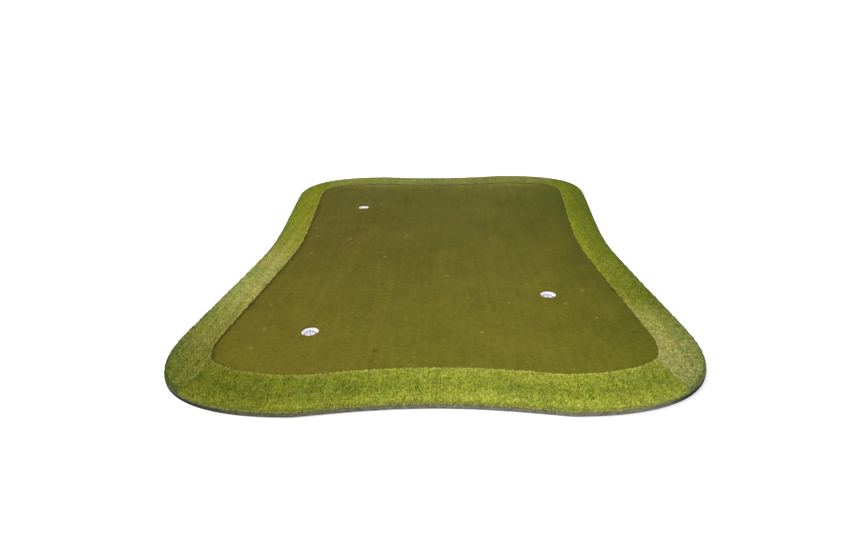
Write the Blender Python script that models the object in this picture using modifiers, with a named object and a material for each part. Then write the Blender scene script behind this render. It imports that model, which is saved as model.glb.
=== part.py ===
"""Hourglass practice putting mat: interlocking base tiles, rubber edging, a cut-pile
putting turf with three cup liners, and a longer-pile fringe mitred at the corners.

Frame: origin on the floor under the middle of the mat, +X across the width,
+Y along the length (away from the putting end), +Z up. Metres.
"""
import math

import bmesh
import bpy
from mathutils import Vector

# ---------------------------------------------------------------- dimensions
OVERALL_WIDTH = 3.048        # 10 ft across the widest part
OVERALL_LENGTH = 4.267       # 14 ft over the end bulges
WAIST_WIDTH = 2.80           # pinched middle of the long sides
MIDLINE_LENGTH = 4.14        # length along the middle, between the hollow ends
WIDEST_Y = 1.50              # where each long side is widest
BULGE_X = 0.70               # where each end reaches furthest
# Bezier handle lengths, as shares of the run they belong to
WAIST_HANDLE = 0.22
WIDE_HANDLE = 0.12
CORNER_SIDE_HANDLE = 0.72
CORNER_END_HANDLE = 0.60
BULGE_HANDLE = 0.10
MIDLINE_HANDLE = 0.50
# points along each run of a quarter outline
N_SIDE, N_CORNER, N_END = 10, 14, 6

GAP = 0.0003                 # left between touching pieces

TILE = 0.6223                # 24.5 in interlocking tile, sold as 2 ft
TILE_T = 0.022
TAB_PITCH = TILE / 2
TAB_NECK, TAB_HEAD, TAB_DEPTH = 0.030, 0.044, 0.016
TAB_MARGIN = 0.035           # least foam between a tab and the trimmed edge

EDGING_W = 0.012             # thickness of the rubber nose
EDGING_FLANGE = 0.045        # flange reaches this far in from the outline
SHEET_T = 0.0008             # flange and seam tape
LIFT = TILE_T + GAP          # underside of tape and flange
TURF_Z = LIFT + SHEET_T + GAP

PUTTING_TOP = 0.035
FRINGE_TOP = 0.045
FRINGE_SIDE = 0.238          # fringe width along the long sides
FRINGE_END = 0.289           # and across the ends
FRINGE_SETBACK = 0.004       # fringe backing stops short of the outline
TAPE_W = 0.150

MITRE_OUT = 7                # point of the corner run where each mitre meets the outline
MITRE_IN = 4                 # and where it meets the putting turf

CUP_POS = {"cup_front_left": (-0.762, -1.372),
           "cup_front_right": (0.764, -0.904),
           "cup_back_left": (-0.775, 1.030)}
HOLE_R = 0.0543              # 4.25 in regulation hole, in turf and tile
RECESS_Z = 0.003             # foam left under each cup
CUP_R = 0.0535
CUP_WALL = 0.0025
CUP_RIM_Z = 0.0265
CUP_FLOOR = (0.0048, 0.0070)
CUP_SLOTS = 12
SLOT_R = (0.018, 0.045)
SLOT_W = (0.0038, 0.0090)
HUB_R = 0.0085
ROUND = 32

# ---------------------------------------------------------------- scene
for old in list(bpy.data.objects):
    bpy.data.objects.remove(old, do_unlink=True)

parts = bpy.data.collections.new("practice_putting_mat")
cutters = bpy.data.collections.new("cutters")
for c in (parts, cutters):
    bpy.context.scene.collection.children.link(c)


def material(name, colour, roughness, metallic=0.0):
    m = bpy.data.materials.new(name)
    m.use_nodes = True
    b = m.node_tree.nodes["Principled BSDF"]
    b.inputs["Base Color"].default_value = (*colour, 1)
    b.inputs["Roughness"].default_value = roughness
    b.inputs["Metallic"].default_value = metallic
    return m


FOAM = (0.030, 0.030, 0.032)
RUBBER = (0.012, 0.012, 0.013)
TAPE = (0.020, 0.022, 0.020)
FIELD = (0.145, 0.130, 0.028)
FRINGE = {"front": (0.240, 0.270, 0.040), "back": (0.150, 0.170, 0.035),
          "left": (0.260, 0.240, 0.075), "right": (0.190, 0.220, 0.040)}
WHITE = (0.85, 0.84, 0.80)


# ---------------------------------------------------------------- outline
def bezier(p0, p1, p2, p3, n):
    out = []
    for i in range(n):
        t = i / n
        a, b, c, d = (1 - t) ** 3, 3 * (1 - t) ** 2 * t, 3 * (1 - t) * t * t, t ** 3
        out.append((a * p0[0] + b * p1[0] + c * p2[0] + d * p3[0],
                    a * p0[1] + b * p1[1] + c * p2[1] + d * p3[1]))
    return out


def outline():
    """Closed hourglass, anticlockwise from the right-hand waist."""
    hw, hl = OVERALL_WIDTH / 2, OVERALL_LENGTH / 2
    wa, em = WAIST_WIDTH / 2, MIDLINE_LENGTH / 2
    q = bezier((wa, 0), (wa, WAIST_HANDLE * WIDEST_Y),
               (hw, WIDEST_Y * (1 - WIDE_HANDLE)), (hw, WIDEST_Y), N_SIDE)
    q += bezier((hw, WIDEST_Y), (hw, WIDEST_Y + CORNER_SIDE_HANDLE * (hl - WIDEST_Y)),
                (BULGE_X + CORNER_END_HANDLE * (hw - BULGE_X), hl), (BULGE_X, hl), N_CORNER)
    q += bezier((BULGE_X, hl), (BULGE_X * (1 - BULGE_HANDLE), hl),
                (BULGE_X * MIDLINE_HANDLE, em), (0, em), N_END)
    q += [(0, em)]
    half = q + [(-x, y) for x, y in reversed(q[:-1])]
    return half + [(x, -y) for x, y in reversed(half[1:-1])]


LOOP = outline()
NQ = N_SIDE + N_CORNER + N_END


def normals(loop):
    """Outward unit normal at each point."""
    out = []
    for i in range(len(loop)):
        (x0, y0), (x1, y1) = loop[i - 1], loop[(i + 1) % len(loop)]
        dx, dy = x1 - x0, y1 - y0
        s = math.hypot(dx, dy)
        out.append((dy / s, -dx / s))
    return out


NORMALS = normals(LOOP)


def inset(d):
    """The outline moved inwards by d, a number or a function of the normal."""
    w = d if callable(d) else (lambda n: d)
    return [(p[0] - n[0] * w(n), p[1] - n[1] * w(n)) for p, n in zip(LOOP, NORMALS)]


def fringe_width(n):
    return FRINGE_SIDE + (FRINGE_END - FRINGE_SIDE) * n[1] ** 2


def span(side, corner):
    """Outline indices of one side, whose corners are `corner` points into the corner run."""
    k = N_SIDE + corner
    a, b = {"right": (-k, k), "back": (k, 2 * NQ - k),
            "left": (2 * NQ - k, 2 * NQ + k), "front": (2 * NQ + k, 4 * NQ - k)}[side]
    return list(range(a, b + 1))


def inside(p, loop):
    hit = False
    for (x0, y0), (x1, y1) in zip(loop, loop[1:] + loop[:1]):
        if (y0 > p[1]) != (y1 > p[1]) and p[0] < (x1 - x0) * (p[1] - y0) / (y1 - y0) + x0:
            hit = not hit
    return hit


def strip(side, outer, inner, corner_out, corner_in, step=1):
    """Closed polygon between two inset loops along one side, with its cut ends pulled
    back half a gap."""
    n = len(LOOP)
    io, ii = span(side, corner_out), span(side, corner_in)
    if step > 1:
        io = io[:-1:step] + [io[-1]]
        ii = ii[:-1:step] + [ii[-1]]
    a = [Vector(outer[i % n]) for i in io]
    b = [Vector(inner[i % n]) for i in ii]
    for e, s in ((0, 1), (-1, -1)):
        cut = (a[e] - b[e]).normalized()
        pull = Vector((-cut.y, cut.x)) * s * GAP / 2
        a[e], b[e] = a[e] + pull, b[e] + pull
    return [tuple(p) for p in a + b[::-1]]


# ---------------------------------------------------------------- builders
def to_mesh(curve_obj, name, collection, one_face_caps=False):
    """Turns a curve object into a welded mesh object in the same place, its flat caps
    each made one face where they have no holes."""
    bpy.context.view_layer.update()
    ev = curve_obj.evaluated_get(bpy.context.evaluated_depsgraph_get())
    mesh = bpy.data.meshes.new_from_object(ev)
    obj = bpy.data.objects.new(name, mesh)
    obj.matrix_world = curve_obj.matrix_world
    collection.objects.link(obj)
    data = curve_obj.data
    bpy.data.objects.remove(curve_obj)
    bpy.data.curves.remove(data)
    mesh.name = name
    mesh.materials.clear()
    bm = bmesh.new()
    bm.from_mesh(mesh)
    bmesh.ops.remove_doubles(bm, verts=bm.verts, dist=1e-6)
    if one_face_caps:
        flat = [e for e in bm.edges
                if all(max(v.co.z for v in f.verts) - min(v.co.z for v in f.verts) < 1e-6
                       for f in e.link_faces)]
        bmesh.ops.dissolve_edges(bm, edges=flat, use_verts=False)
    bmesh.ops.recalc_face_normals(bm, faces=bm.faces)
    bm.to_mesh(mesh)
    bm.free()
    return obj


def slab(name, loops, z0, z1, collection=None):
    """Flat outline, with holes where loops nest, from z0 up to z1."""
    curve = bpy.data.curves.new(name + "_outline", "CURVE")
    curve.dimensions = "2D"
    curve.fill_mode = "BOTH"
    curve.extrude = (z1 - z0) / 2
    for pts in loops:
        s = curve.splines.new("POLY")
        s.points.add(len(pts) - 1)
        for point, (x, y) in zip(s.points, pts):
            point.co = (x, y, 0, 1)
        s.use_cyclic_u = True
    obj = bpy.data.objects.new(name + "_outline", curve)
    obj.location.z = (z0 + z1) / 2
    (collection or parts).objects.link(obj)
    return to_mesh(obj, name, collection or parts, len(loops) == 1)


def cutter(obj):
    for c in list(obj.users_collection):
        c.objects.unlink(obj)
    cutters.objects.link(obj)
    obj.hide_render = True
    obj.display_type = "WIRE"
    return obj


def cut(obj, tool, operation="DIFFERENCE"):
    m = obj.modifiers.new(tool.name, "BOOLEAN")
    m.operation = operation
    m.object = tool
    m.solver = "EXACT"


def finish(obj, mat):
    obj.data.materials.clear()
    obj.data.materials.append(mat)
    return obj


def circle(cx, cy, r, n=ROUND):
    return [(cx + r * math.cos(2 * math.pi * (i + 0.5) / n),
             cy + r * math.sin(2 * math.pi * (i + 0.5) / n)) for i in range(n)]


# ---------------------------------------------------------------- base tiles
TRIM = inset(EDGING_W + GAP)
trim_tool = cutter(slab("trim_outline", [TRIM], -0.005, TILE_T + 0.005, cutters))
cup_tools = {}
for cup, (cx, cy) in CUP_POS.items():
    bpy.ops.mesh.primitive_cylinder_add(vertices=ROUND, radius=HOLE_R, depth=0.04,
                                        location=(cx, cy, RECESS_Z + 0.02),
                                        rotation=(0, 0, math.pi / ROUND))
    tool = cutter(bpy.context.object)
    tool.name = cup + "_recess"
    cup_tools[cup] = tool


def tab_fits(x, y, along):
    """True where a whole tab, with foam round it, is inside the trimmed edge."""
    m, h = TAB_MARGIN, TAB_HEAD / 2 + TAB_MARGIN
    pts = [(-m, -h), (-m, h), (TAB_DEPTH + m, -h), (TAB_DEPTH + m, h)]
    return all(inside((x + (u if along == "y" else v), y + (v if along == "y" else u)), TRIM)
               for u, v in pts)


def edge_run(a, b, seam, tabs, male):
    """Points from a towards b along one tile edge. tabs holds the distances of the tab
    centres from a, and seam is the unit direction that every tab points in."""
    d = (Vector(b) - Vector(a))
    length = d.length
    d.normalize()
    s = Vector(seam)
    g = GAP / 2
    # the tile stops half a gap short of the seam line on both sides of it
    back = -s * g if male else s * g
    grow = -0.0002 if male else 0.0002
    depth = TAB_DEPTH - g if male else TAB_DEPTH + g
    pts = []
    for c in sorted(t for t in tabs if 0 < t < length):
        m = Vector(a) + d * c
        for off, out in ((-TAB_NECK / 2 - grow, 0), (-TAB_HEAD / 2 - grow, 1),
                         (TAB_HEAD / 2 + grow, 1), (TAB_NECK / 2 + grow, 0)):
            p = m + d * off + (s * depth if out else back)
            pts.append((p.x, p.y))
    return pts


tiles = []
for col in range(5):
    x0 = (col - 2.5) * TILE
    x1 = x0 + TILE
    shift = 0.0 if col % 2 == 0 else TILE / 2
    rows = 7 if col % 2 == 0 else 8
    for row in range(rows):
        y0 = (row - 3.5) * TILE - shift
        y1 = y0 + TILE
        y0, y1 = max(y0, -OVERALL_LENGTH / 2 - 0.05), min(y1, OVERALL_LENGTH / 2 + 0.05)
        g = GAP / 2
        # tab positions along the column seams sit on one pitch for every column
        ys = [(k + 0.5) * TAB_PITCH for k in range(-8, 8)]
        xs = [(x0 + x1) / 2 - TAB_PITCH / 2, (x0 + x1) / 2 + TAB_PITCH / 2]
        right = [y for y in ys if y0 < y < y1 and col < 4 and tab_fits(x1, y, "y")]
        left = [y for y in ys if y0 < y < y1 and col > 0 and tab_fits(x0, y, "y")]
        top = [x for x in xs if row < rows - 1 and tab_fits(x, y1, "x")]
        bottom = [x for x in xs if row > 0 and tab_fits(x, y0, "x")]
        pts = [(x0 + g, y0 + g)]
        pts += edge_run((x0, y0), (x1, y0), (0, 1), [x - x0 for x in bottom], False)
        pts += [(x1 - g, y0 + g)]
        pts += edge_run((x1, y0), (x1, y1), (1, 0), [y - y0 for y in right], True)
        pts += [(x1 - g, y1 - g)]
        pts += edge_run((x1, y1), (x0, y1), (0, 1), [x1 - x for x in top], True)
        pts += [(x0 + g, y1 - g)]
        pts += edge_run((x0, y1), (x0, y0), (1, 0), [y1 - y for y in left], False)
        name = f"base_tile_c{col + 1}_r{row + 1}"
        tile = slab(name, [pts], 0.0, TILE_T)
        rim = [(x0 + (x1 - x0) * i / 12, y) for i in range(13) for y in (y0, y1)]
        rim += [(x, y0 + (y1 - y0) * i / 12) for i in range(13) for x in (x0, x1)]
        if not all(inside(p, TRIM) for p in rim):
            cut(tile, trim_tool, "INTERSECT")
        for cup, (cx, cy) in CUP_POS.items():
            if x0 < cx < x1 and y0 < cy < y1:
                cut(tile, cup_tools[cup])
        finish(tile, material(name, FOAM, 0.85))
        tiles.append(tile)


# ---------------------------------------------------------------- edging
# Section of the rubber edging: distance in from the outline, and height. A square toe,
# a sloped shoulder, and a thin flange that lies on the tiles under the fringe.
SECTION = [(0.0, 0.0), (0.0, 0.0130), (0.0030, 0.0175), (0.0090, 0.0222),
           (EDGING_W, LIFT + SHEET_T), (EDGING_FLANGE, LIFT + SHEET_T),
           (EDGING_FLANGE, LIFT), (EDGING_W, LIFT), (EDGING_W, 0.0)]


def edging(side):
    name = "edging_" + side
    profile = bpy.data.curves.new(name + "_section", "CURVE")
    profile.dimensions = "2D"
    s = profile.splines.new("POLY")
    s.points.add(len(SECTION) - 1)
    for point, (u, z) in zip(s.points, SECTION):
        point.co = (-u, z, 0, 1)
    s.use_cyclic_u = True
    section = bpy.data.objects.new(name + "_section", profile)
    parts.objects.link(section)
    idx = span(side, MITRE_OUT)
    n = len(LOOP)
    pts = [Vector(LOOP[i % n]) for i in idx]
    # a short straight run at each end keeps both cut faces of a joint square to it
    for e, i, step in ((0, idx[0], 1), (-1, idx[-1], -1)):
        nx, ny = NORMALS[i % n]
        tangent = Vector((-ny, nx)) * step
        joint = pts[e]
        pts[e] = joint + tangent * GAP / 2
        pts.insert(1 if e == 0 else len(pts) - 1, joint + tangent * 0.02)
    path = bpy.data.curves.new(name + "_path", "CURVE")
    path.dimensions = "2D"
    path.bevel_mode = "OBJECT"
    path.bevel_object = section
    path.use_fill_caps = True
    path.resolution_u = 1
    s = path.splines.new("POLY")
    s.points.add(len(pts) - 1)
    for point, p in zip(s.points, pts):
        point.co = (p.x, p.y, 0, 1)
    obj = bpy.data.objects.new(name + "_path", path)
    parts.objects.link(obj)
    mesh_obj = to_mesh(obj, name, parts)
    bpy.data.objects.remove(section)
    bpy.data.curves.remove(profile)
    return finish(mesh_obj, material(name, RUBBER, 0.45))


SIDES = ("front", "back", "left", "right")
for side in SIDES:
    edging(side)

# ---------------------------------------------------------------- seam tape
tape_outer = inset(lambda n: fringe_width(n) - TAPE_W / 2)
tape_inner = inset(lambda n: fringe_width(n) + TAPE_W / 2)
for side in SIDES:
    finish(slab("seam_tape_" + side, [strip(side, tape_outer, tape_inner, 5, 5, 2)],
                LIFT, LIFT + SHEET_T), material("seam_tape_" + side, TAPE, 0.9))

# ---------------------------------------------------------------- turf
seam_outer = inset(lambda n: fringe_width(n) - GAP / 2)
seam_inner = inset(lambda n: fringe_width(n) + GAP / 2)
fringe_outer = inset(FRINGE_SETBACK)
finish(slab("putting_turf", [seam_inner] + [circle(x, y, HOLE_R) for x, y in CUP_POS.values()],
            TURF_Z, PUTTING_TOP), material("putting_turf", FIELD, 0.95))
for side in SIDES:
    finish(slab("fringe_" + side, [strip(side, fringe_outer, seam_outer, MITRE_OUT, MITRE_IN)],
                TURF_Z, FRINGE_TOP), material("fringe_" + side, FRINGE[side], 0.95))


# ---------------------------------------------------------------- cups
def cup(name, cx, cy):
    """Turned liner: foot ring, slotted floor and a short wall with a rounded rim."""
    z0, z1 = CUP_FLOOR
    ri = CUP_R - CUP_WALL
    foot = RECESS_Z + GAP
    section = [(HUB_R, z1), (ri - 0.004, z1), (ri - 0.0012, z1 + 0.0012), (ri, z1 + 0.004),
               (ri, CUP_RIM_Z - 0.0008), (ri + 0.0008, CUP_RIM_Z),
               (CUP_R - 0.0008, CUP_RIM_Z), (CUP_R, CUP_RIM_Z - 0.0008),
               (CUP_R, foot), (ri, foot), (ri, z0), (HUB_R, z0)]
    mesh = bpy.data.meshes.new(name)
    obj = bpy.data.objects.new(name, mesh)
    parts.objects.link(obj)
    bm = bmesh.new()
    vs = [bm.verts.new((r, 0, z)) for r, z in section]
    for a, b in zip(vs, vs[1:] + vs[:1]):
        bm.edges.new((a, b))
    bm.to_mesh(mesh)
    bm.free()
    obj.location = (cx, cy, 0)
    obj.rotation_euler = (0, 0, math.pi / ROUND)
    turn = obj.modifiers.new("turn", "SCREW")
    turn.axis = "Z"
    turn.angle = 2 * math.pi
    turn.screw_offset = 0
    turn.steps = turn.render_steps = ROUND
    turn.use_merge_vertices = True
    turn.merge_threshold = 1e-5
    turn.use_smooth_shade = False
    # tapered slots through the floor, spread round the hub
    tool_mesh = bpy.data.meshes.new(name + "_slots")
    bm = bmesh.new()
    for k in range(CUP_SLOTS):
        a = 2 * math.pi * (k + 0.5) / CUP_SLOTS
        d, t = Vector((math.cos(a), math.sin(a), 0)), Vector((-math.sin(a), math.cos(a), 0))
        made = bmesh.ops.create_cube(bm, size=1.0)["verts"]
        for v in made:
            far = v.co.x > 0
            r = SLOT_R[1] if far else SLOT_R[0]
            w = SLOT_W[1] if far else SLOT_W[0]
            z = z1 + 0.003 if v.co.z > 0 else z0 - 0.001
            v.co = d * r + t * (w / 2 if v.co.y > 0 else -w / 2) + Vector((0, 0, z))
    bmesh.ops.recalc_face_normals(bm, faces=bm.faces)
    bm.to_mesh(tool_mesh)
    bm.free()
    tool = bpy.data.objects.new(name + "_slots", tool_mesh)
    tool.location = (cx, cy, 0)
    cutters.objects.link(tool)
    tool.hide_render = True
    tool.display_type = "WIRE"
    cut(obj, tool)
    return finish(obj, material(name, WHITE, 0.35))


for name, (cx, cy) in CUP_POS.items():
    cup(name, cx, cy)
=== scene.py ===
"""Looks of the practice putting mat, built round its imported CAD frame.

Frame: origin on the floor under the middle of the mat, +X across the width, +Y along
the length away from the putting end, +Z up. Metres.
"""
import math

import bmesh
import bpy
import numpy as np
from mathutils import Matrix, Vector
from mathutils.geometry import delaunay_2d_cdt


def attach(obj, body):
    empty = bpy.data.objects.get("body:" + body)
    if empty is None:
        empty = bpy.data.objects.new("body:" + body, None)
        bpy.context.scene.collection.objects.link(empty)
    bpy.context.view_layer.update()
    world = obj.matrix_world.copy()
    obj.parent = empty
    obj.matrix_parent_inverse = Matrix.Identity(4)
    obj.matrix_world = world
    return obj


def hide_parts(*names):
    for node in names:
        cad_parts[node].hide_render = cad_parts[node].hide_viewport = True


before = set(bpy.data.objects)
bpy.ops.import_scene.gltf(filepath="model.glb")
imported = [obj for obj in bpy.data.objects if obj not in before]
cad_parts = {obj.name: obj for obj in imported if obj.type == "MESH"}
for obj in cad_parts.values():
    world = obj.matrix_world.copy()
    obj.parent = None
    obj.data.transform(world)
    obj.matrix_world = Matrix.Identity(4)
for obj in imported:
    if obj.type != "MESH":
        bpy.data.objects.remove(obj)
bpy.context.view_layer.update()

# ------------------------------------------------- dimensions repeated from the CAD
OVERALL_WIDTH, OVERALL_LENGTH = 3.048, 4.267
WAIST_WIDTH, MIDLINE_LENGTH = 2.80, 4.14
WIDEST_Y, BULGE_X = 1.50, 0.70
WAIST_HANDLE, WIDE_HANDLE = 0.22, 0.12
CORNER_SIDE_HANDLE, CORNER_END_HANDLE = 0.72, 0.60
BULGE_HANDLE, MIDLINE_HANDLE = 0.10, 0.50
N_SIDE, N_CORNER, N_END = 10, 14, 6
NQ = N_SIDE + N_CORNER + N_END
GAP = 0.0003
LIFT, TAPE_T = 0.0223, 0.0008
TURF_Z = 0.0234
PUTTING_TOP, FRINGE_TOP = 0.035, 0.045
FRINGE_SIDE, FRINGE_END, FRINGE_SETBACK = 0.238, 0.289, 0.004
MITRE_OUT, MITRE_IN = 7, 4
EDGING_W, EDGING_FLANGE = 0.012, 0.045
CUPS = {"cup_front_left": (-0.762, -1.372),
        "cup_front_right": (0.764, -0.904),
        "cup_back_left": (-0.775, 1.030)}
HOLE_R, RECESS_Z = 0.0543, 0.003
CUP_R, CUP_WALL, CUP_RIM_Z = 0.0535, 0.0025, 0.0265
CUP_LIP_Z = 0.0236             # the rolled lip shows a little below the turf
CUP_FLOOR = (0.0048, 0.0070)
CUP_SLOTS, SLOT_R, SLOT_W, HUB_R = 12, (0.018, 0.045), (0.0044, 0.0114), 0.0085

# ------------------------------------------------- dimensions of the looks only
PUTTING_THATCH = 0.0318       # top of backing and packed yarn, under the cut tips
FRINGE_THATCH = 0.0330
FRINGE_BLADES = 97000         # two-facet blades in each fringe strip
EDGE_BLADES = 9000            # of which along the outer edge
STITCH_GAUGE, STITCH_STEP = 0.0095, 0.0078
PUTTING_TIPS = 190000         # one-facet tips in each half of the putting turf
SIDES = ("front", "back", "left", "right")
# Which way each strip's nap leans, in degrees from +X
NAP = {"front": 84.0, "back": 97.0, "left": 72.0, "right": 108.0}


# ================================================================= plan geometry
def bezier(p, t):
    p, t = np.array(p, float), np.asarray(t, float)[:, None]
    return ((1 - t) ** 3 * p[0] + 3 * (1 - t) ** 2 * t * p[1]
            + 3 * (1 - t) * t * t * p[2] + t ** 3 * p[3])


HW, HL, WA, EM = OVERALL_WIDTH / 2, OVERALL_LENGTH / 2, WAIST_WIDTH / 2, MIDLINE_LENGTH / 2
RUNS = (
    (0, N_SIDE, ((WA, 0), (WA, WAIST_HANDLE * WIDEST_Y), (HW, WIDEST_Y * (1 - WIDE_HANDLE)),
                 (HW, WIDEST_Y))),
    (N_SIDE, N_SIDE + N_CORNER,
     ((HW, WIDEST_Y), (HW, WIDEST_Y + CORNER_SIDE_HANDLE * (HL - WIDEST_Y)),
      (BULGE_X + CORNER_END_HANDLE * (HW - BULGE_X), HL), (BULGE_X, HL))),
    (N_SIDE + N_CORNER, NQ,
     ((BULGE_X, HL), (BULGE_X * (1 - BULGE_HANDLE), HL), (BULGE_X * MIDLINE_HANDLE, EM),
      (0, EM))),
)


def rim(t):
    """Outline point at each t, which counts 4 * NQ round the mat anticlockwise from the
    right-hand waist."""
    t = np.mod(np.asarray(t, float), 4 * NQ)
    q = np.minimum((t / NQ).astype(int), 3)
    u = np.select([q == 0, q == 1, q == 2], [t, 2 * NQ - t, t - 2 * NQ], 4 * NQ - t)
    out = np.zeros((len(t), 2))
    for a, b, p in RUNS:
        m = (u >= a) & (u <= b)
        out[m] = bezier(p, (u[m] - a) / (b - a))
    out[:, 0] *= np.where((q == 0) | (q == 3), 1, -1)
    out[:, 1] *= np.where(q < 2, 1, -1)
    return out


def outward(t):
    """Outward unit normal at each t."""
    d = rim(np.asarray(t, float) + 0.02) - rim(np.asarray(t, float) - 0.02)
    n = np.c_[d[:, 1], -d[:, 0]]
    return n / np.linalg.norm(n, axis=1)[:, None]


def fringe_width(n):
    return FRINGE_SIDE + (FRINGE_END - FRINGE_SIDE) * n[:, 1] ** 2


def inset(t, d):
    """The outline moved inwards by d, a number or a function of the normals."""
    n = outward(t)
    return rim(t) - n * np.reshape(d(n) if callable(d) else np.full(len(n), d), (-1, 1))


def span(side, corner):
    k = N_SIDE + corner
    return {"right": (-k, k), "back": (k, 2 * NQ - k),
            "left": (2 * NQ - k, 2 * NQ + k), "front": (2 * NQ + k, 4 * NQ - k)}[side]


# Distance in from the outline, and the outline's normal there, tabulated on one quarter
CELL = 0.006
_t = np.linspace(0, NQ, 901)
_rim, _out = rim(_t), outward(_t)
_gx, _gy = np.arange(0, HW + 4 * CELL, CELL), np.arange(0, HL + 4 * CELL, CELL)
_p = np.stack(np.meshgrid(_gx, _gy, indexing="ij"), -1).reshape(-1, 2)
_near = np.concatenate([
    ((some[:, None] - _rim[None]) ** 2).sum(2).argmin(1) for some in np.array_split(_p, 24)])
_table = np.c_[((_rim[_near] - _p) * _out[_near]).sum(1), _out[_near]].reshape(
    len(_gx), len(_gy), 3)


def plan(xy):
    """Distance in from the outline, and the outward normal, at points in plan."""
    x, y = np.abs(xy[:, 0]) / CELL, np.abs(xy[:, 1]) / CELL
    i = np.clip(x.astype(int), 0, len(_gx) - 2)
    j = np.clip(y.astype(int), 0, len(_gy) - 2)
    a, b = (x - i)[:, None], (y - j)[:, None]
    v = (_table[i, j] * (1 - a) * (1 - b) + _table[i + 1, j] * a * (1 - b)
         + _table[i, j + 1] * (1 - a) * b + _table[i + 1, j + 1] * a * b)
    n = v[:, 1:] * np.sign(np.where(xy == 0, 1, xy))
    return v[:, 0], n / np.maximum(np.linalg.norm(n, axis=1), 1e-9)[:, None]


_mitre_out = inset([N_SIDE + MITRE_OUT], FRINGE_SETBACK)[0]
_mitre_in = inset([N_SIDE + MITRE_IN], fringe_width)[0]


def side_of(xy):
    """0 for the left and right strips and 1 for the ends, either side of the mitres, and
    the distance from the mitre."""
    d = _mitre_in - _mitre_out
    p = np.abs(xy) - _mitre_out
    s = (d[0] * p[:, 1] - d[1] * p[:, 0]) / np.linalg.norm(d)
    at_end = d[0] * (EM - _mitre_out[1]) - d[1] * (0 - _mitre_out[0])
    return (s * np.sign(at_end) > 0).astype(int), np.abs(s)


def waves(xy, seed, sizes, tilt=0.0):
    """Smooth seeded unevenness between about -1 and 1, from sines of the given lengths."""
    r = np.random.default_rng(seed)
    total = np.zeros(len(xy))
    for size in sizes:
        for _ in range(5):
            a = r.uniform(0, math.pi) + tilt
            k = 2 * math.pi / (size * r.uniform(0.7, 1.4))
            total += np.sin(k * (xy[:, 0] * math.cos(a) + xy[:, 1] * math.sin(a))
                            + r.uniform(0, 6.28))
    return total / (2.2 * math.sqrt(5 * len(sizes)))


# ================================================================= materials
def srgb(r, g, b, k=1.0):
    """Display values from 0 to 255 as scene-linear, times k."""
    def lin(c):
        c /= 255
        return c / 12.92 if c <= 0.04045 else ((c + 0.055) / 1.055) ** 2.4
    return tuple(min(1.0, lin(c) * k) for c in (r, g, b))


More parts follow.
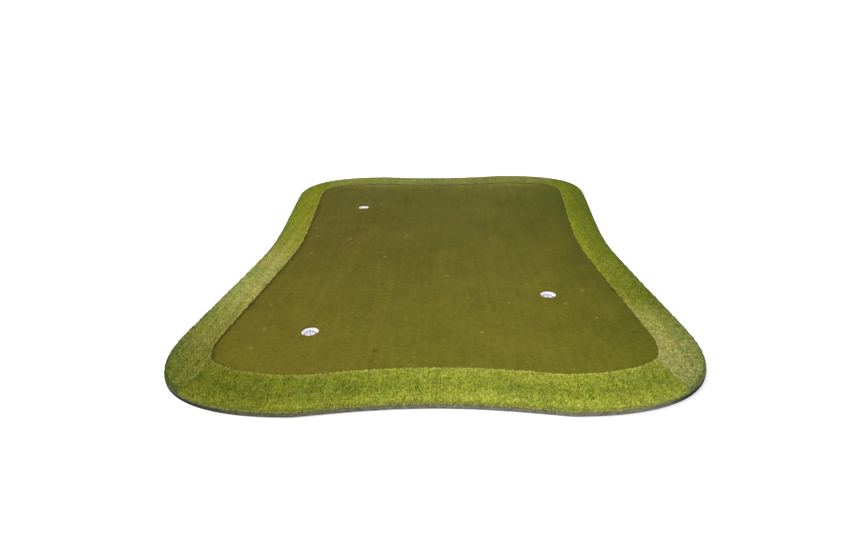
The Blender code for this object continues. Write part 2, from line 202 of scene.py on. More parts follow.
class Graph:
    """A material's node tree, with short calls for the nodes used here."""

    def __init__(self, name, roughness, **sockets):
        self.material = bpy.data.materials.new(name)
        self.material.use_nodes = True
        self.tree = self.material.node_tree
        self.shader = self.tree.nodes["Principled BSDF"]
        self.shader.inputs["Roughness"].default_value = roughness
        for key, value in sockets.items():
            self.shader.inputs[key.replace("_", " ")].default_value = value
        self.coords = self.tree.nodes.new("ShaderNodeTexCoord").outputs["Object"]
        self._axes = None

    def put(self, node, key, value):
        if isinstance(value, bpy.types.NodeSocket):
            self.tree.links.new(value, node.inputs[key])
        else:
            node.inputs[key].default_value = value

    def mapped(self, scale, turn=0.0):
        m = self.tree.nodes.new("ShaderNodeMapping")
        self.put(m, "Vector", self.coords)
        m.inputs["Scale"].default_value = scale
        m.inputs["Rotation"].default_value = (0, 0, turn)
        return m.outputs["Vector"]

    def noise(self, scale, detail=3.0, rough=0.55, vector=None, distort=0.0):
        n = self.tree.nodes.new("ShaderNodeTexNoise")
        self.put(n, "Vector", self.coords if vector is None else vector)
        for key, value in (("Scale", scale), ("Detail", detail), ("Roughness", rough),
                           ("Distortion", distort)):
            n.inputs[key].default_value = value
        return n.outputs["Fac"]

    def cells(self, scale, vector=None, feature="F1", randomness=1.0, out="Distance"):
        n = self.tree.nodes.new("ShaderNodeTexVoronoi")
        n.feature = feature
        self.put(n, "Vector", self.coords if vector is None else vector)
        n.inputs["Scale"].default_value = scale
        n.inputs["Randomness"].default_value = randomness
        return n.outputs[out]

    def bands(self, scale, axis, distort=0.0, vector=None, profile="SIN"):
        n = self.tree.nodes.new("ShaderNodeTexWave")
        n.wave_type, n.bands_direction, n.wave_profile = "BANDS", axis, profile
        self.put(n, "Vector", self.coords if vector is None else vector)
        n.inputs["Scale"].default_value = scale
        n.inputs["Distortion"].default_value = distort
        n.inputs["Detail"].default_value = 2.0
        n.inputs["Detail Scale"].default_value = 1.5
        return n.outputs["Fac"]

    def attr(self, name):
        n = self.tree.nodes.new("ShaderNodeAttribute")
        n.attribute_name = name
        return n.outputs["Fac"]

    def axis(self, which):
        if self._axes is None:
            self._axes = self.tree.nodes.new("ShaderNodeSeparateXYZ")
            self.put(self._axes, "Vector", self.coords)
        return self._axes.outputs[which]

    def ramp(self, fac, *stops, smooth=False):
        n = self.tree.nodes.new("ShaderNodeValToRGB")
        self.put(n, "Fac", fac)
        e = n.color_ramp.elements
        n.color_ramp.interpolation = "EASE" if smooth else "LINEAR"
        while len(e) < len(stops):
            e.new(0.5)
        for k, (at, c) in enumerate(sorted(stops, key=lambda s: s[0])):
            e[k].position = at
            e[k].color = (c, c, c, 1) if isinstance(c, (int, float)) else (*c, 1)
        return n.outputs["Color"]

    def mix(self, fac, a, b, mode="MIX"):
        n = self.tree.nodes.new("ShaderNodeMix")
        n.data_type, n.blend_type, n.clamp_factor = "RGBA", mode, True
        self.put(n, 0, fac)
        for key, value in ((6, a), (7, b)):
            if isinstance(value, (int, float)):
                value = (value, value, value, 1)
            elif isinstance(value, tuple) and len(value) == 3:
                value = (*value, 1)
            self.put(n, key, value)
        return n.outputs[2]

    def math(self, op, a, b=0.0, c=0.0, clamp=False):
        n = self.tree.nodes.new("ShaderNodeMath")
        n.operation, n.use_clamp = op, clamp
        for key, value in ((0, a), (1, b), (2, c)):
            self.put(n, key, value)
        return n.outputs[0]

    def span(self, value, low, high, to_low=0.0, to_high=1.0):
        n = self.tree.nodes.new("ShaderNodeMapRange")
        self.put(n, "Value", value)
        for key, v in (("From Min", low), ("From Max", high), ("To Min", to_low),
                       ("To Max", to_high)):
            n.inputs[key].default_value = v
        return n.outputs["Result"]

    def colour(self, value):
        self.put(self.shader, "Base Color", value)

    def bump(self, height, strength, distance):
        n = self.tree.nodes.new("ShaderNodeBump")
        n.inputs["Strength"].default_value = strength
        n.inputs["Distance"].default_value = distance
        self.put(n, "Height", height)
        self.put(self.shader, "Normal", n.outputs["Normal"])

    def roughness(self, value):
        self.put(self.shader, "Roughness", value)


# Colours along each strip, as (place from 0 to 1, display colour): the yarn's colour with the painted sheen and
# shade of each strip's nap as lit, which make the strips differ and change along their length. The ends run along X
# from the left and the long sides along Y from the front.
STRIP_YARN_AND_SHEEN = {
    "front": ((0.0, (108, 113, 22)), (0.08, (110, 116, 24)), (0.20, (121, 127, 30)),
              (0.35, (131, 137, 40)), (0.485, (144, 150, 50)), (0.64, (149, 155, 54)),
              (0.80, (142, 149, 48)), (0.94, (130, 136, 44)), (1.0, (122, 127, 40))),
    "back": ((0.0, (124, 130, 56)), (0.5, (122, 124, 64)), (1.0, (116, 121, 46))),
    "left": ((0.0, (118, 121, 44)), (0.05, (120, 121, 48)), (0.11, (132, 132, 56)),
             (0.20, (148, 147, 72)), (0.30, (153, 151, 82)), (0.42, (149, 146, 74)),
             (0.50, (136, 136, 50)), (0.60, (127, 129, 34)), (0.80, (118, 121, 15)),
             (1.0, (112, 116, 16))),
    "right": ((0.0, (154, 154, 90)), (0.12, (144, 147, 72)), (0.22, (119, 125, 32)),
              (0.36, (118, 125, 30)), (0.50, (114, 122, 20)), (0.72, (104, 113, 4)),
              (1.0, (102, 111, 16))),
}
# The change across each strip, from its outer edge at 0 to its inner seam at 1. It holds painted light: painted
# shade darkens the outermost row along both sides, and painted highlight lightens the front's outer edge and the
# inner seams, where the blade tips catch the light.
STRIP_ACROSS_LIGHT = {
    "front": ((0.0, (1.26, 1.24, 1.42)), (0.14, (1.22, 1.20, 1.36)), (0.28, (1.02, 1.02, 1.02)),
              (0.50, (0.86, 0.89, 0.78)), (0.74, (1.04, 1.03, 1.02)), (1.0, (1.14, 1.10, 1.24))),
    "back": ((0.0, (1.10, 1.06, 1.20)), (1.0, (0.98, 0.98, 0.95))),
    "left": ((0.0, (0.30, 0.33, 0.42)), (0.052, (0.34, 0.38, 0.46)), (0.076, (0.76, 0.84, 0.86)),
             (0.25, (0.92, 0.96, 0.94)), (0.70, (1.08, 1.05, 1.12)),
             (1.0, (1.00, 0.98, 0.94))),
    "right": ((0.0, (0.30, 0.34, 0.40)), (0.052, (0.34, 0.38, 0.42)), (0.076, (0.73, 0.78, 0.70)),
              (0.35, (0.88, 0.90, 0.86)), (0.70, (1.08, 1.05, 1.08)),
              (1.0, (1.28, 1.20, 1.38))),
}
STRIP_GAIN = {"front": 1.24, "back": 1.10, "left": 1.32, "right": 1.24}
FIELD_GAIN = 0.99


def fringe_material(side, thatch):
    g = Graph(f"{'fringe_thatch' if thatch else 'fringe_yarn'}_{side}",
              0.62 if not thatch else 0.85, Specular_IOR_Level=0.10)
    ends = side in ("front", "back")
    along = g.span(g.axis("X" if ends else "Y"), -1.30 if ends else -1.75,
                   1.30 if ends else 1.75)
    stops = [(at, srgb(*c, STRIP_GAIN[side])) for at, c in STRIP_YARN_AND_SHEEN[side]]
    base = g.ramp(along, *stops)
    # painted shade and painted highlight across the strip
    base = g.mix(1.0, base, g.ramp(g.attr("across"), *STRIP_ACROSS_LIGHT[side]), "MULTIPLY")
    # tracked patches where the nap has been walked one way or the other, and patches that
    # lean to a cooler green or to straw
    patch = g.noise(3.0, 2.0, 0.5, distort=0.6)
    small = g.noise(22.0, 3.0, 0.6)
    tuft = g.noise(75.0, 2.0, 0.6)
    cast = g.noise(7.0, 3.0, 0.6, distort=0.5)
    base = g.mix(1.0, base, g.ramp(patch, (0.32, 0.93), (0.68, 1.08)), "MULTIPLY")
    base = g.mix(1.0, base, g.ramp(small, (0.32, 0.89), (0.68, 1.10)), "MULTIPLY")
    base = g.mix(1.0, base, g.ramp(tuft, (0.34, 0.80), (0.66, 1.20)), "MULTIPLY")
    base = g.mix(1.0, base, g.ramp(cast, (0.32, (0.91, 0.99, 0.95)), (0.50, (1.0, 1.0, 0.94)),
                                   (0.68, (1.08, 1.03, 1.04))), "MULTIPLY")
    if thatch:
        # curled brown-green thatch yarn in packed loops under the blades, darkened towards the gaps between the
        # loops with painted shade in the crevices
        curl = g.cells(900.0)
        loop_gap_shade = g.ramp(curl, (0.0, 0.62), (0.55, 0.34), (1.0, 0.14))
        base = g.mix(1.0, base, loop_gap_shade, "MULTIPLY")
        base = g.mix(g.span(g.noise(420.0, 2.0), 0.5, 0.62), base, srgb(92, 80, 30), "MIX")
        g.colour(base)
        g.bump(curl, 0.8, 0.0015)
        return g.material
    shade = g.attr("shade")
    # three yarns: field green, lime and a straw one
    base = g.mix(1.0, base, g.ramp(shade, (0.0, (0.46, 0.50, 0.34)), (0.30, (0.82, 0.86, 0.74)),
                                   (0.65, (1.06, 1.06, 1.0)), (0.88, (1.30, 1.26, 1.30)),
                                   (1.0, (1.62, 1.52, 1.95))), "MULTIPLY")
    # darker down towards the roots: painted shade deep in the pile, lightening up to the tips
    tip = g.attr("along")
    base = g.mix(1.0, base, g.ramp(tip, (0.0, 0.30), (0.42, 0.72), (0.80, 1.02),
                                   (1.0, 1.14)), "MULTIPLY")
    # pale yarn, and along the front edge and the inner seam painted highlight on lit tips, in a colour brightened
    # 1.45 times
    base = g.mix(g.math("MULTIPLY", g.attr("pale"), g.math("POWER", tip, 1.5)),
                 base, srgb(186, 188, 112, 1.45))
    g.colour(base)
    g.roughness(g.ramp(g.noise(60.0, 2.0), (0.3, 0.52), (0.7, 0.70)))
    g.bump(g.noise(2600.0, 1.0), 0.25, 0.0002)
    return g.material


def putting_material(thatch):
    g = Graph("putting_thatch" if thatch else "putting_yarn", 0.82, Specular_IOR_Level=0.06)
    base = g.ramp(g.span(g.axis("Y"), -1.84, 1.84),
                  (0.0, srgb(119, 113, 33, FIELD_GAIN)), (0.20, srgb(115, 109, 33, FIELD_GAIN)),
                  (0.50, srgb(105, 99, 31, FIELD_GAIN)), (0.85, srgb(100, 97, 32, FIELD_GAIN)),
                  (0.95, srgb(106, 102, 38, FIELD_GAIN)), (1.0, srgb(127, 122, 58, FIELD_GAIN)))
    across = g.ramp(g.span(g.axis("X"), -1.25, 1.25), (0.0, (0.99, 0.94, 0.88)),
                    (0.20, (1.00, 0.96, 0.96)), (0.55, (1.03, 1.05, 1.12)),
                    (0.78, (1.0, 1.03, 1.06)), (0.88, (0.92, 0.96, 0.84)),
                    (1.0, (0.72, 0.80, 0.60)))
    base = g.mix(1.0, base, across, "MULTIPLY")
    # faint mottling, streaks along the roll, and patches of a warmer or greener cast
    mottle = g.noise(3.4, 3.0, 0.55, distort=0.4)
    fine = g.noise(30.0, 3.0, 0.65)
    streak = g.noise(1.0, 3.0, 0.6, vector=g.mapped((26.0, 1.3, 1.0)))
    cast = g.noise(2.2, 2.0, 0.5, vector=g.mapped((1.6, 0.8, 1.0)))
    for f, lo, hi in ((mottle, 0.93, 1.07), (fine, 0.87, 1.12), (streak, 0.93, 1.08)):
        base = g.mix(1.0, base, g.ramp(f, (0.32, lo), (0.68, hi)), "MULTIPLY")
    base = g.mix(1.0, base, g.ramp(cast, (0.34, (0.97, 1.02, 1.0)), (0.66, (1.03, 1.0, 0.98))),
                 "MULTIPLY")
    # small scuffs, pale ones where tips are bent over and dark ones where they are parted
    pale_spot = g.span(g.cells(5.0), 0.080, 0.050)
    base = g.mix(g.math("MULTIPLY", pale_spot, 0.55), base, srgb(168, 164, 84))
    dark_spot = g.span(g.cells(4.3, vector=g.mapped((1.0, 0.8, 1.0), 0.7)), 0.075, 0.045)
    base = g.mix(g.math("MULTIPLY", dark_spot, 0.55), base, srgb(60, 58, 20))
    # the seam: painted shadow of the longer fringe, matted and broken up in places
    seam_shadow = g.math("MULTIPLY", g.attr("seam_shadow"), g.span(g.noise(38.0, 2.0), 0.34, 0.56, 0.25, 1.0))
    base = g.mix(1.0, base, g.ramp(seam_shadow, (0.0, 1.0), (0.40, 0.58), (0.85, 0.24)), "MULTIPLY")
    if thatch:
        curl = g.cells(520.0)
        # darker towards the gaps between the curled loops: painted shade in the crevices
        base = g.mix(1.0, base, g.ramp(curl, (0.0, 0.98), (0.5, 0.66), (1.0, 0.30)), "MULTIPLY")
        rows = g.bands(26.0, "X", 1.2)
        base = g.mix(1.0, base, g.ramp(rows, (0.0, 0.90), (1.0, 1.06)), "MULTIPLY")
        g.colour(base)
        g.bump(g.math("SUBTRACT", 1.0, curl), 0.9, 0.0016)
        return g.material
    base = g.mix(1.0, base, g.ramp(g.attr("shade"), (0.0, (0.56, 0.58, 0.48)),
                                   (0.5, (1.0, 1.0, 1.0)), (0.9, (1.24, 1.20, 1.08)),
                                   (1.0, (1.48, 1.44, 1.30))), "MULTIPLY")
    # darker down towards the roots: painted shade deep in the pile
    tip = g.attr("along")
    base = g.mix(1.0, base, g.ramp(tip, (0.0, 0.50), (1.0, 1.14)), "MULTIPLY")
    base = g.mix(g.math("MULTIPLY", g.attr("pale"), tip), base, srgb(150, 148, 82))
    g.colour(base)
    g.roughness(g.ramp(g.noise(45.0, 2.0), (0.3, 0.70), (0.7, 0.88)))
    return g.material


def edging_material():
    g = Graph("edging_rubber", 0.70, Specular_IOR_Level=0.12)
    z = g.axis("Z")
    grit = g.noise(700.0, 3.0, 0.7)
    grey_mottle = g.noise(34.0, 4.0, 0.65)
    toe = g.ramp(grit, (0.30, (0.006, 0.006, 0.007)), (0.75, (0.018, 0.018, 0.018)))
    # a thin painted highlight on the upper shoulder round the front, where it faces the light, broken up by noise
    shoulder_highlight = g.math("MULTIPLY", g.span(z, 0.0160, 0.0180), g.span(grey_mottle, 0.25, 0.50), clamp=True)
    shoulder_highlight = g.math("MULTIPLY", shoulder_highlight, g.span(g.axis("Y"), -1.55, -1.80))
    base = g.mix(g.math("MULTIPLY", shoulder_highlight, 0.75), toe,
                 g.ramp(grey_mottle, (0.30, srgb(64, 64, 56)), (0.72, srgb(100, 99, 88))))
    # the front face between its corners is painted a patchy lighter grey, as painted reflection of the pale floor
    front_reflection = g.math("MULTIPLY", g.span(g.axis("Y"), -1.98, -2.04),
                  g.math("MULTIPLY", g.span(g.axis("X"), -1.22, -0.92),
                         g.span(g.axis("X"), 1.30, 1.08), clamp=True), clamp=True)
    patchy = g.ramp(g.noise(120.0, 3.0, 0.7), (0.36, 0.25), (0.56, 1.0))
    grey = g.ramp(g.span(g.axis("X"), -1.1, 0.3), (0.0, srgb(86, 86, 64)),
                  (1.0, srgb(122, 119, 104)))
    grey = g.mix(1.0, grey, g.ramp(grey_mottle, (0.30, 0.72), (0.72, 1.20)), "MULTIPLY")
    base = g.mix(g.math("MULTIPLY", front_reflection, patchy), base, grey)
    g.colour(base)
    g.roughness(g.ramp(grey_mottle, (0.3, 0.60), (0.7, 0.85)))
    g.bump(g.math("ADD", g.math("MULTIPLY", grit, 0.6), g.noise(160.0, 2.0)), 0.35, 0.0006)
    return g.material


def foam_material():
    g = Graph("base_foam", 0.88, Specular_IOR_Level=0.30)
    skin = g.noise(9.0, 3.0)
    pores = g.cells(1400.0)
    emboss = g.math("MULTIPLY", g.bands(95.0, "DIAGONAL"),
                    g.bands(95.0, "DIAGONAL", vector=g.mapped((1, 1, 1), math.pi / 2)))
    base = g.ramp(skin, (0.3, (0.022, 0.022, 0.024)), (0.7, (0.036, 0.036, 0.038)))
    base = g.mix(g.span(pores, 0.10, 0.0), base, (0.012, 0.012, 0.013))
    g.colour(g.mix(1.0, base, g.ramp(emboss, (0.0, 0.85), (1.0, 1.2)), "MULTIPLY"))
    g.roughness(g.ramp(skin, (0.3, 0.80), (0.7, 0.95)))
    g.bump(g.math("ADD", emboss, g.math("MULTIPLY", pores, 0.4)), 0.5, 0.0006)
    return g.material


def tape_material():
    g = Graph("seam_tape", 0.9, Sheen_Weight=0.10, Specular_IOR_Level=0.25)
    weave = g.math("MULTIPLY", g.bands(170.0, "X"), g.bands(170.0, "Y"))
    base = g.ramp(g.noise(40.0, 3.0), (0.3, (0.016, 0.019, 0.016)), (0.7, (0.034, 0.038, 0.033)))
    g.colour(g.mix(1.0, base, g.ramp(weave, (0.0, 0.75), (1.0, 1.25)), "MULTIPLY"))
    g.roughness(g.ramp(weave, (0.0, 0.95), (1.0, 0.82)))
    g.bump(weave, 0.5, 0.0004)
    return g.material


def cup_material():
    g = Graph("cup_plastic", 0.38, Specular_IOR_Level=0.5, Coat_Weight=0.08,
              Coat_Roughness=0.25, Subsurface_Weight=0.0)
    z = g.axis("Z")
    cloud = g.noise(55.0, 3.0)
    # the wall is white and the brighter; the floor, of the same white plastic, is painted darker and cooler, a
    # faintly lavender painted shade at the bottom of the cup
    wall = g.ramp(cloud, (0.3, (0.90, 0.89, 0.86)), (0.7, (0.94, 0.93, 0.90)))
    floor = g.ramp(cloud, (0.3, (0.56, 0.53, 0.61)), (0.7, (0.64, 0.61, 0.70)))
    base = g.mix(g.span(z, 0.0075, 0.0105), floor, wall)
    speck = g.math("MULTIPLY", g.span(g.noise(380.0, 3.0, 0.7), 0.62, 0.74),
                   g.span(z, 0.012, 0.007), clamp=True)
    base = g.mix(g.math("MULTIPLY", speck, 0.5), base, srgb(120, 112, 84))
    # painted shade round the lip, where the turf overhangs and shades the top of the wall, patchy with the cloud
    # noise
    lip = g.math("MULTIPLY", g.span(z, 0.0212, 0.0230), g.span(cloud, 0.25, 0.50), clamp=True)
    base = g.mix(g.math("MULTIPLY", lip, 0.85), base, srgb(88, 88, 58))
    g.colour(base)
    g.roughness(g.ramp(g.noise(120.0, 3.0), (0.35, 0.30), (0.7, 0.50)))
    g.bump(g.noise(900.0, 2.0), 0.12, 0.0002)
    return g.material


# ================================================================= mesh builders
def shown(name, mesh, material, body, smooth=None):
    obj = bpy.data.objects.new(name, mesh)
    bpy.context.scene.collection.objects.link(obj)
    mesh.materials.clear()
    mesh.materials.append(material)
    if smooth is not None:
        mesh.shade_smooth()
        if smooth < 180:
            mesh.set_sharp_from_angle(angle=math.radians(smooth))
    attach(obj, body)
    return obj


def mesh_of(name, verts, faces):
    """A mesh from arrays: faces is a list of arrays, each of faces with one corner count."""
    mesh = bpy.data.meshes.new(name)
    sizes = np.concatenate([np.full(len(f), f.shape[1]) for f in faces])
    corners = np.concatenate([f.ravel() for f in faces]).astype(np.int32)
    starts = np.r_[0, np.cumsum(sizes)[:-1]].astype(np.int32)
    mesh.vertices.add(len(verts))
    mesh.vertices.foreach_set("co", np.ascontiguousarray(verts, np.float32).ravel())
    mesh.loops.add(len(corners))
    mesh.loops.foreach_set("vertex_index", corners)
    mesh.polygons.add(len(sizes))
    mesh.polygons.foreach_set("loop_start", starts)
    mesh.update(calc_edges=True)
    return mesh


def swept(name, rings):
    """A closed solid from rings of the same number of points, with its ends capped."""
    n, k = rings.shape[:2]
    ids = np.arange(n * k).reshape(n, k)
    a, b = ids[:-1], ids[1:]
    quads = np.stack([a, np.roll(a, -1, 1), np.roll(b, -1, 1), b], -1).reshape(-1, 4)
    caps = np.stack([ids[0][::-1], ids[-1]])
    mesh = mesh_of(name, rings.reshape(-1, 3), [quads, caps])
    bm = bmesh.new()
    bm.from_mesh(mesh)
    bmesh.ops.recalc_face_normals(bm, faces=bm.faces)
    bm.to_mesh(mesh)
    bm.free()
    return mesh


def rounded(points, radius, steps=4):
    """A closed polygon with its corners rounded, each by its own radius."""
    pts = [Vector(p) for p in points]
    out = []
    for i, p in enumerate(pts):
        r = radius[i] if hasattr(radius, "__len__") else radius
        a, b = pts[i - 1] - p, pts[(i + 1) % len(pts)] - p
        angle = a.angle(b)
        cut = min(r / math.tan(angle / 2) if angle > 1e-3 else 0, 0.45 * a.length,
                  0.45 * b.length)
        if r <= 0 or cut < 1e-6:
            out.append(tuple(p))
            continue
        s, e = p + a.normalized() * cut, p + b.normalized() * cut
        for k in range(steps + 1):
            t = k / steps
            q = s * (1 - t) ** 2 + p * 2 * t * (1 - t) + e * t * t
            out.append(tuple(q))
    return np.array(out)


def atlas(mesh, at, corners, faces_per):
    """A UV map with one cell for every blade, laid out so that neighbours on the mat are
    neighbours in the map, and every other row is turned over so that tips meet tips."""
    n = len(at)
    cols = math.ceil(math.sqrt(n))
    by_y = np.argsort(at[:, 1], kind="stable")
    row = np.empty(n, int)
    row[by_y] = np.arange(n) // cols
    order = np.lexsort((at[:, 0], row))
    col = np.empty(n, int)
    first = np.r_[0, np.cumsum(np.bincount(row))]
    col[order] = np.arange(n) - first[row[order]]
    uv = np.tile(np.asarray(corners, float)[None], (n, 1, 1))
    flip = (row % 2 == 1)
    uv[flip, :, 1] = 1 - uv[flip, :, 1]
    uv[:, :, 0] += col[:, None]
    uv[:, :, 1] += row[:, None]
    layer = mesh.uv_layers.new(name="OFBake")
    layer.uv.foreach_set("vector", (uv / cols).astype(np.float32).ravel())


def attribute(mesh, name, values):
    a = mesh.attributes.new(name, "FLOAT", "POINT")
    a.data.foreach_set("value", np.ascontiguousarray(values, np.float32).ravel())


def blades(name, root, length, width, lean, heading, rng, shade, pale):
    """Cut blades, each a slim two-facet kite that bends as it leans. lean is the angle from
    upright and heading the way it leans, in radians."""
    n = len(root)
    way = np.c_[np.cos(heading), np.sin(heading), np.zeros(n)]
    face = heading + math.pi / 2 + rng.normal(0, 0.75, n)
    wide = np.c_[np.cos(face), np.sin(face), rng.normal(0, 0.15, n)] * width[:, None] / 2
    up = np.array([0, 0, 1.0])
    low, high = 0.55 * lean, 1.45 * lean
    mid = root + (np.sin(low)[:, None] * way + np.cos(low)[:, None] * up) * (0.48 * length)[:, None]
    tip = mid + (np.sin(high)[:, None] * way + np.cos(high)[:, None] * up) * (0.52 * length)[:, None]
    verts = np.stack([root, mid - wide, mid + wide, tip], 1)
    base = np.arange(n)[:, None] * 4
    tris = np.stack([base + (0, 2, 1), base + (1, 2, 3)], 1).reshape(-1, 3)
    mesh = mesh_of(name, verts.reshape(-1, 3), [tris])
    mesh.shade_smooth()
    uv = {0: (0.5, 0.04), 1: (0.04, 0.5), 2: (0.96, 0.5), 3: (0.5, 0.96)}
    atlas(mesh, root, [uv[k] for k in (0, 2, 1, 1, 2, 3)], 2)
    attribute(mesh, "along", np.tile([0, 0.48, 0.48, 1.0], n))
    attribute(mesh, "shade", np.repeat(shade, 4))
    attribute(mesh, "pale", np.repeat(pale, 4))
    return mesh


def tips(name, root, length, width, lean, heading, rng, shade, pale):
    """Short cut tips, one facet each."""
    n = len(root)
    way = np.c_[np.cos(heading), np.sin(heading), np.zeros(n)]
    face = heading + math.pi / 2 + rng.normal(0, 0.8, n)
    wide = np.c_[np.cos(face), np.sin(face), np.zeros(n)] * width[:, None] / 2
    tip = root + (np.sin(lean)[:, None] * way
                  + np.cos(lean)[:, None] * np.array([0, 0, 1.0])) * length[:, None]
    verts = np.stack([root - wide, root + wide, tip], 1)
    tris = np.arange(3 * n).reshape(-1, 3)
    mesh = mesh_of(name, verts.reshape(-1, 3), [tris])
    atlas(mesh, root, [(0.04, 0.04), (0.96, 0.04), (0.5, 0.96)], 1)
    attribute(mesh, "along", np.tile([0, 0, 1.0], n))
    attribute(mesh, "shade", np.repeat(shade, 3))
    attribute(mesh, "pale", np.repeat(pale, 3))
    return mesh


def stitched(low, high, gauge, step, keep, rng):
    """Tufts along stitch rows that run along Y over a rectangle, each row a little off its
    line. Returns their places and the number of each one's row."""
    xs = np.arange(low[0], high[0], gauge)
    ys = np.arange(low[1], high[1], step)
    p = np.stack(np.meshgrid(xs, ys, indexing="ij"), -1)
    row = np.repeat(np.arange(len(xs)), len(ys)).reshape(len(xs), len(ys))
    p[:, :, 1] += rng.uniform(0, step, len(xs))[:, None]
    p[:, :, 0] += rng.normal(0, 0.06 * gauge, len(xs))[:, None]
    p = p.reshape(-1, 2) + rng.normal(0, 0.10 * step, (len(xs) * len(ys), 2))
    ok = keep(p)
    return p[ok], row.ravel()[ok]


def tufted(low, high, wanted, keep, rng):
    """Roots of tufts in a wandering grid over a rectangle, kept where keep() says so, at a
    pitch that leaves about the wanted number."""
    probe = rng.uniform(low, high, (40000, 2))
    area = np.prod(np.array(high) - low) * keep(probe).mean()
    pitch = math.sqrt(area / wanted)
    xs = np.arange(low[0], high[0], pitch)
    ys = np.arange(low[1], high[1], pitch)
    p = np.stack(np.meshgrid(xs, ys, indexing="ij"), -1)
    p[1::2, :, 1] += pitch / 2
    p = p.reshape(-1, 2) + rng.normal(0, 0.28 * pitch, (len(xs) * len(ys), 2))
    p = p[keep(p)]
    if len(p) > wanted:
        p = p[np.sort(rng.permutation(len(p))[:wanted])]
    return p


# ================================================================= edging
def edging(side):
    """One length of rubber edging: a square toe with two moulded grooves, a rounded
    shoulder and the thin flange that lies on the tiles under the fringe."""
    a, b = span(side, MITRE_OUT)
    t = np.linspace(a, b, 300)
    p, n = rim(t), outward(t)
    for e, s in ((0, 1), (-1, -1)):
        tangent = np.array([-n[e][1], n[e][0]]) * s
        p[e] = p[e] + tangent * GAP / 2
    top = LIFT + TAPE_T
    section = [(0, 0), (0, 0.0040), (0.0005, 0.0044), (0.0005, 0.0052), (0, 0.0056),
               (0, 0.0084), (0.0005, 0.0088), (0.0005, 0.0096), (0, 0.0100),
               (0, 0.0130), (0.0030, 0.0178), (0.0085, 0.0222), (EDGING_W + 0.002, top),
               (EDGING_FLANGE, top), (EDGING_FLANGE, LIFT), (EDGING_W, LIFT), (EDGING_W, 0)]
    radii = [0.0008] + [0.0003] * 8 + [0.0022, 0.0040, 0.0060, 0.0060,
                                       0.0003, 0.0002, 0.0006, 0.0006]
    ring = rounded(section, radii, 3)
    rings = np.empty((len(t), len(ring), 3))
    rings[:, :, :2] = p[:, None] - n[:, None] * ring[None, :, :1]
    rings[:, :, 2] = ring[None, :, 1]
    obj = shown("edging_rubber_" + side, swept("edging_rubber_" + side, rings), RUBBER,
                "mat", 32)
    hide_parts("edging_" + side)
    return obj


